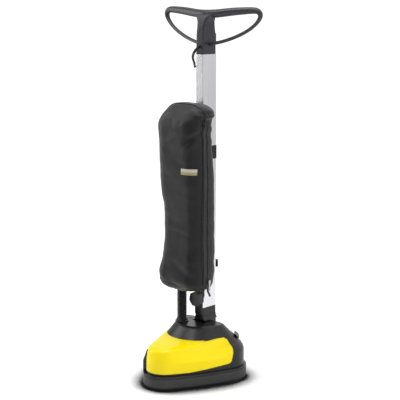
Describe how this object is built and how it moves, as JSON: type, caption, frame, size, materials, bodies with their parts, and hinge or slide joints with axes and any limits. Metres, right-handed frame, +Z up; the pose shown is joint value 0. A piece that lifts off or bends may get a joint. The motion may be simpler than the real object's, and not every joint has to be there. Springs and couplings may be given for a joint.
{
  "type": "floor polisher",
  "caption": "Upright three-disc floor polisher with a rounded triangular head, tilting tube handle, closed-loop grip, suction hose and zipped dust bag.",
  "frame": {"origin": "on the floor, under the middle of the machine's bounding box", "axes": "+Z up, -Y towards the nose of the head, +X to the right of someone facing the nose from the rear with the handle between, that is to the right in a front view from -Y"},
  "size_m": [0.3928, 0.3204, 1.1386],
  "materials": {
    "hood_gloss": "gloss",
    "black_plastic": "satin",
    "grip_plastic": "satin",
    "holder_plastic": "matte",
    "bumper_rubber": "matte",
    "belt_rubber": "matte",
    "hose_rubber": "satin",
    "tube_aluminium": "anodised satin",
    "steel": "plain",
    "cast_metal": "cast",
    "motor_iron": "laminated",
    "bag_cloth": "coated cloth",
    "filter_paper": "paper",
    "zip_tape": "woven tape",
    "label_plate": "blank plate",
    "pad_felt": "felt"
  },
  "bodies": {
    "head": {"base_plate": "black_plastic", "bumper": "bumper_rubber", "belt_cover": "black_plastic", "hood": "hood_gloss", "side_guard": "black_plastic", "rear_cover": "black_plastic", "top_cover": "black_plastic", "hose_socket": "black_plastic", "spindle_bearings": "steel", "motor_case": "cast_metal", "motor_bearings": "steel", "stator": "motor_iron", "fan_case": "black_plastic", "hinge_bracket": "steel", "hinge_pin": "steel", "foot_switch": "black_plastic", "suction_hose": "hose_rubber", "drive_belt_front": "belt_rubber", "drive_belt_left": "belt_rubber", "drive_belt_right": "belt_rubber"},
    "handle": {"neck": "black_plastic", "tube": "tube_aluminium", "clamp_nut": "steel", "grip": "grip_plastic", "grip_screws": "steel", "grip_cover": "grip_plastic", "cord_inlet": "grip_plastic", "cord_clip": "black_plastic", "bag_clamp": "black_plastic", "cord_hook": "black_plastic", "bag": "bag_cloth", "filter_bag": "filter_paper", "bag_collar": "black_plastic", "zip_tape": "zip_tape", "bag_label": "label_plate"},
    "knob": {"clamp_knob": "grip_plastic", "clamp_bolt": "steel"},
    "zip": {"zip_slider": "steel"},
    "power_pedal": {"power_pedal": "black_plastic"},
    "release_pedal": {"release_pedal": "black_plastic"},
    "motor_rotor": {"rotor": "motor_iron", "drive_pulley": "steel", "fan_wheel": "black_plastic"},
    "disc_front": {"polishing_pad_front": "pad_felt", "pad_holder_front": "holder_plastic", "spindle_front": "steel", "disc_pulley_front": "holder_plastic"},
    "disc_left": {"polishing_pad_left": "pad_felt", "pad_holder_left": "holder_plastic", "spindle_left": "steel", "disc_pulley_left": "holder_plastic"},
    "disc_right": {"polishing_pad_right": "pad_felt", "pad_holder_right": "holder_plastic", "spindle_right": "steel", "disc_pulley_right": "holder_plastic"}
  },
  "joints": [
    {"name": "handle_tilt", "type": "hinge", "parent": "head", "child": "handle", "pos_m": [0, 0.08915, 0.14], "axis": [-1, 0, 0], "range_deg": [0, 70], "deforming": ["suction_hose"]},
    {"name": "knob_turn", "type": "hinge", "parent": "handle", "child": "knob", "pos_m": [0, 0.04275, 0.2435], "axis": [0, -1, 0], "range_deg": [0, 720]},
    {"name": "zip_slide", "type": "slide", "parent": "handle", "child": "zip", "axis": [0, 0, 1], "range_m": [0, 0.47]},
    {"name": "motor_spin", "type": "hinge", "parent": "head", "child": "motor_rotor", "pos_m": [0, 0.01875, 0.08], "axis": [0, 0, 1], "continuous": true},
    {"name": "power_pedal_press", "type": "slide", "parent": "head", "child": "power_pedal", "axis": [-0.4701, -0.4384, -0.766], "range_m": [0, 0.0016], "stiffness_N_per_m": 2000, "springref_m": -0.002},
    {"name": "release_pedal_press", "type": "slide", "parent": "head", "child": "release_pedal", "axis": [0.4701, -0.4384, -0.766], "range_m": [0, 0.0016], "stiffness_N_per_m": 2000, "springref_m": -0.002},
    {"name": "disc_front_spin", "type": "hinge", "parent": "head", "child": "disc_front", "pos_m": [0, -0.07325, 0.01], "axis": [0, 0, 1], "continuous": true},
    {"name": "disc_left_spin", "type": "hinge", "parent": "head", "child": "disc_left", "pos_m": [-0.0743, 0.08645, 0.01], "axis": [0, 0, 1], "continuous": true},
    {"name": "disc_right_spin", "type": "hinge", "parent": "head", "child": "disc_right", "pos_m": [0.0743, 0.08645, 0.01], "axis": [0, 0, 1], "continuous": true}
  ],
  "couplings": [
    {"joint": "disc_front_spin", "follows": "motor_spin", "ratio": 0.2},
    {"joint": "disc_left_spin", "follows": "motor_spin", "ratio": 0.2},
    {"joint": "disc_right_spin", "follows": "motor_spin", "ratio": 0.2}
  ]
}
